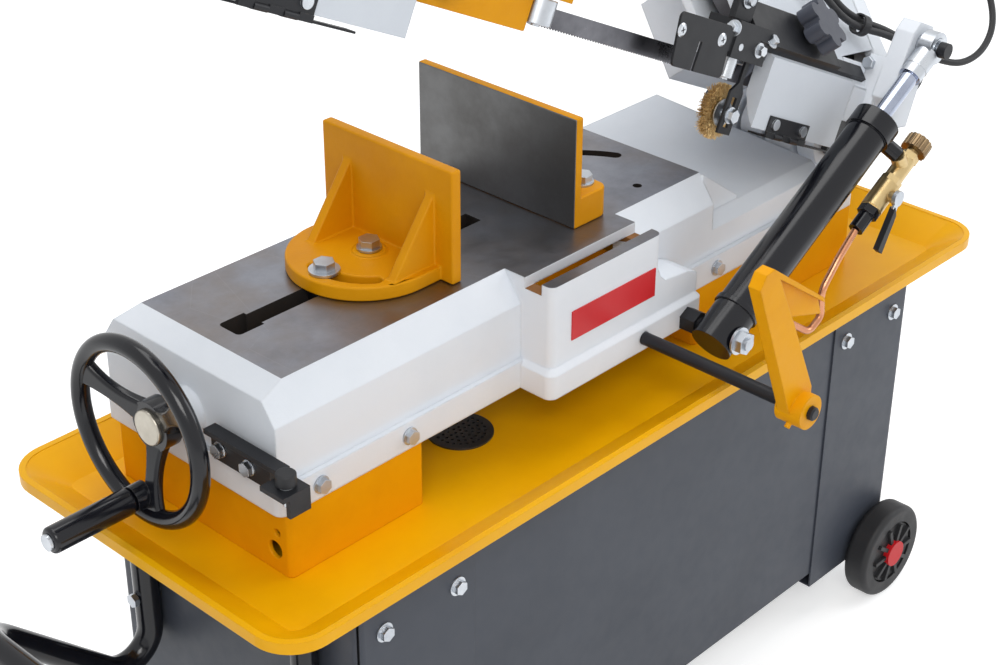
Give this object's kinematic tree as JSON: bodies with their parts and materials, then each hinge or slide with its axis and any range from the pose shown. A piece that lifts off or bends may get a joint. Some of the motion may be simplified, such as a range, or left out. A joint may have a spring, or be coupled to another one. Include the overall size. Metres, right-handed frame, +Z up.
{
  "type": "metal cutting band saw",
  "caption": "Horizontal metal cutting band saw on a wheeled cabinet stand: chip tray, vise with handwheel, tilting bow with saw band and a damper cylinder that sets the feed.",
  "frame": {"origin": "centre of the machine's footprint box on the floor", "axes": "+X towards the end with the bow pivot and the transport wheels, -Y towards the operator at the saw band side, +Z up"},
  "size_m": [1.3024, 0.6416, 1.3223],
  "materials": {
    "white_paint": "textured gloss",
    "yellow_paint": "textured gloss",
    "grey_paint": "satin",
    "dark_steel": "oiled",
    "zinc": "zinc plated",
    "chrome": "polished",
    "brass": "as drawn",
    "copper": "copper",
    "rubber": "matt",
    "black_plastic": "matt",
    "black_paint": "gloss",
    "red": "gloss",
    "green": "gloss"
  },
  "bodies": {
    "stand": {"stand_legs": "grey_paint", "stand_panels": "grey_paint", "stand_feet": "rubber", "frame_bolts": "zinc", "lift_handle": "black_paint", "wheel_axle": "zinc", "tray": "yellow_paint", "strainer": "dark_steel", "risers": "yellow_paint", "bed": "white_paint", "label_plate": "red", "stop_bracket": "black_paint", "pivot_shaft": "dark_steel", "cylinder_stud": "dark_steel", "coolant_unit": "black_plastic"},
    "front_wheel": {"transport_wheel_front": "rubber"},
    "rear_wheel": {"transport_wheel_rear": "rubber"},
    "fixed_vise": {"fixed_jaw": "yellow_paint", "fixed_jaw_bolts": "zinc"},
    "carriage": {"vise_carriage": "dark_steel", "vise_bolts": "zinc"},
    "movable_vise": {"movable_jaw": "yellow_paint"},
    "screw": {"vise_screw": "chrome", "handwheel": "black_paint"},
    "crank": {"crank_grip": "black_plastic"},
    "stop_slide": {"stop_rod": "dark_steel"},
    "stop": {"stop_arm": "yellow_paint"},
    "bow": {"bow_frame": "white_paint", "gearbox": "white_paint", "motor": "white_paint", "cover_right": "white_paint", "cover_hinges": "black_paint", "guide_bracket_right": "black_paint", "brush_bracket": "black_paint", "coolant_nozzle": "black_plastic", "control_box": "black_plastic", "conduits": "black_plastic", "cord_glands": "black_plastic", "saw_band": "dark_steel"},
    "left_cover": {"cover_left": "white_paint"},
    "drive": {"drive_wheel": "dark_steel", "drive_shaft": "zinc"},
    "rotor": {"worm_rotor": "dark_steel"},
    "tension": {"tension_slide": "dark_steel"},
    "idler": {"idler_wheel": "dark_steel"},
    "tension_hand": {"tension_knob": "black_plastic"},
    "left_guide": {"guide_arm_left": "yellow_paint", "guide_bearings_left": "zinc"},
    "left_lock": {"guide_knob_left": "black_plastic"},
    "right_lock": {"guide_knob_right": "black_plastic"},
    "brush": {"wire_brush": "brass"},
    "stop_push": {"stop_button": "red"},
    "start_push": {"start_button": "green"},
    "cylinder": {"cylinder_body": "black_paint", "valve_body": "brass", "copper_pipe": "copper"},
    "ram": {"cylinder_rod": "chrome"},
    "lever": {"valve_lever": "black_paint"},
    "needle": {"valve_knob": "brass"}
  },
  "joints": [
    {"name": "bow_lift", "type": "hinge", "parent": "stand", "child": "bow", "pos_m": [0.42125, 0.01716, 0.6], "axis": [0, 1, 0], "range_deg": [-25.5, 6]},
    {"name": "cylinder_swing", "type": "hinge", "parent": "stand", "child": "cylinder", "pos_m": [0.08225, 0.01716, 0.527], "axis": [0, 1, 0], "range_deg": [-6, 3]},
    {"name": "ram_swing", "type": "hinge", "parent": "bow", "child": "ram", "pos_m": [0.44025, 0.01716, 0.741], "axis": [0, 1, 0], "range_deg": [-8, 24]},
    {"name": "front_wheel_spin", "type": "hinge", "parent": "stand", "child": "front_wheel", "pos_m": [0.45225, 0.01716, 0.062], "axis": [0, 1, 0], "continuous": true},
    {"name": "rear_wheel_spin", "type": "hinge", "parent": "stand", "child": "rear_wheel", "pos_m": [0.45225, 0.01716, 0.062], "axis": [0, 1, 0], "continuous": true},
    {"name": "fixed_jaw_swivel", "type": "hinge", "parent": "stand", "child": "fixed_vise", "pos_m": [0.02125, -0.00884, 0.64], "axis": [0, 0, 1], "range_deg": [-45, 0]},
    {"name": "vise_slide", "type": "slide", "parent": "stand", "child": "carriage", "axis": [1, 0, 0], "range_m": [-0.055, 0.12]},
    {"name": "movable_jaw_swivel", "type": "hinge", "parent": "carriage", "child": "movable_vise", "pos_m": [-0.21075, 0.06266, 0.64], "axis": [0, 0, 1], "range_deg": [-45, 0]},
    {"name": "handwheel_spin", "type": "hinge", "parent": "stand", "child": "screw", "pos_m": [-0.00475, 0.06266, 0.579], "axis": [1, 0, 0], "range_deg": [-3400, 7300]},
    {"name": "crank_grip_spin", "type": "hinge", "parent": "screw", "child": "crank", "pos_m": [-0.49875, 0.06627, 0.51009], "axis": [1, 0, 0], "continuous": true},
    {"name": "stop_rod_slide", "type": "slide", "parent": "stand", "child": "stop_slide", "axis": [0, 1, 0], "range_m": [-0.03, 0.09]},
    {"name": "stop_arm_swing", "type": "hinge", "parent": "stop_slide", "child": "stop", "pos_m": [0.01225, 0.01716, 0.532], "axis": [0, 1, 0], "range_deg": [-100, 100]},
    {"name": "left_cover_open", "type": "hinge", "parent": "bow", "child": "left_cover", "pos_m": [0.03417, -0.10604, 0.77798], "axis": [0.9026, 0, -0.4305], "range_deg": [0, 100]},
    {"name": "drive_spin", "type": "hinge", "parent": "bow", "child": "drive", "pos_m": [0.37664, 0.02032, 0.77824], "axis": [0.3044, -0.7071, 0.6382], "continuous": true},
    {"name": "rotor_spin", "type": "hinge", "parent": "bow", "child": "rotor", "pos_m": [0.39132, 0.09103, 0.69289], "axis": [0.3044, 0.7071, 0.6382], "continuous": true},
    {"name": "tension_slide", "type": "slide", "parent": "bow", "child": "tension", "axis": [0.9026, 0, -0.4305], "range_m": [0, 0.008]},
    {"name": "idler_spin", "type": "hinge", "parent": "tension", "child": "idler", "pos_m": [-0.30211, 0.02032, 1.10198], "axis": [0.3044, -0.7071, 0.6382], "continuous": true},
    {"name": "tension_knob_turn", "type": "hinge", "parent": "bow", "child": "tension_hand", "pos_m": [-0.31672, 0.05427, 1.07135], "axis": [0.9026, 0, -0.4305], "range_deg": [-10, 1930]},
    {"name": "left_guide_slide", "type": "slide", "parent": "bow", "child": "left_guide", "axis": [0.9026, 0, -0.4305], "range_m": [-0.05, 0.07]},
    {"name": "left_lock_turn", "type": "hinge", "parent": "bow", "child": "left_lock", "pos_m": [-0.26863, -0.10284, 0.99331], "axis": [0, 1, 0], "range_deg": [-180, 180]},
    {"name": "right_lock_turn", "type": "hinge", "parent": "bow", "child": "right_lock", "pos_m": [0.29977, -0.08857, 0.782], "axis": [0.3044, -0.7071, 0.6382], "range_deg": [-180, 180]},
    {"name": "brush_spin", "type": "hinge", "parent": "bow", "child": "brush", "pos_m": [0.15379, -0.07584, 0.73145], "axis": [0, 1, 0], "continuous": true},
    {"name": "stop_press", "type": "slide", "parent": "bow", "child": "stop_push", "axis": [-0.3044, 0.7071, -0.6382], "range_m": [0, 0.004], "stiffness_N_per_m": 900},
    {"name": "start_press", "type": "slide", "parent": "bow", "child": "start_push", "axis": [-0.3044, 0.7071, -0.6382], "range_m": [0, 0.004], "stiffness_N_per_m": 700},
    {"name": "valve_lever_turn", "type": "hinge", "parent": "cylinder", "child": "lever", "pos_m": [0.32986, -0.17584, 0.60977], "axis": [0, 1, 0], "range_deg": [0, 90]},
    {"name": "needle_turn", "type": "hinge", "parent": "cylinder", "child": "needle", "pos_m": [0.38994, -0.17584, 0.64569], "axis": [0.8583, 0, 0.5131], "range_deg": [-180, 180]}
  ],
  "couplings": [
    {"joint": "cylinder_swing", "follows": "bow_lift", "ratio": 0.178},
    {"joint": "ram_swing", "follows": "bow_lift", "ratio": -0.822},
    {"joint": "handwheel_spin", "follows": "vise_slide", "rad_per_m": 1047.2},
    {"joint": "rotor_spin", "follows": "drive_spin", "ratio": 30},
    {"joint": "idler_spin", "follows": "drive_spin", "ratio": 1},
    {"joint": "brush_spin", "follows": "drive_spin", "ratio": 4.41},
    {"joint": "tension_knob_turn", "follows": "tension_slide", "rad_per_m": 4188.8}
  ]
}
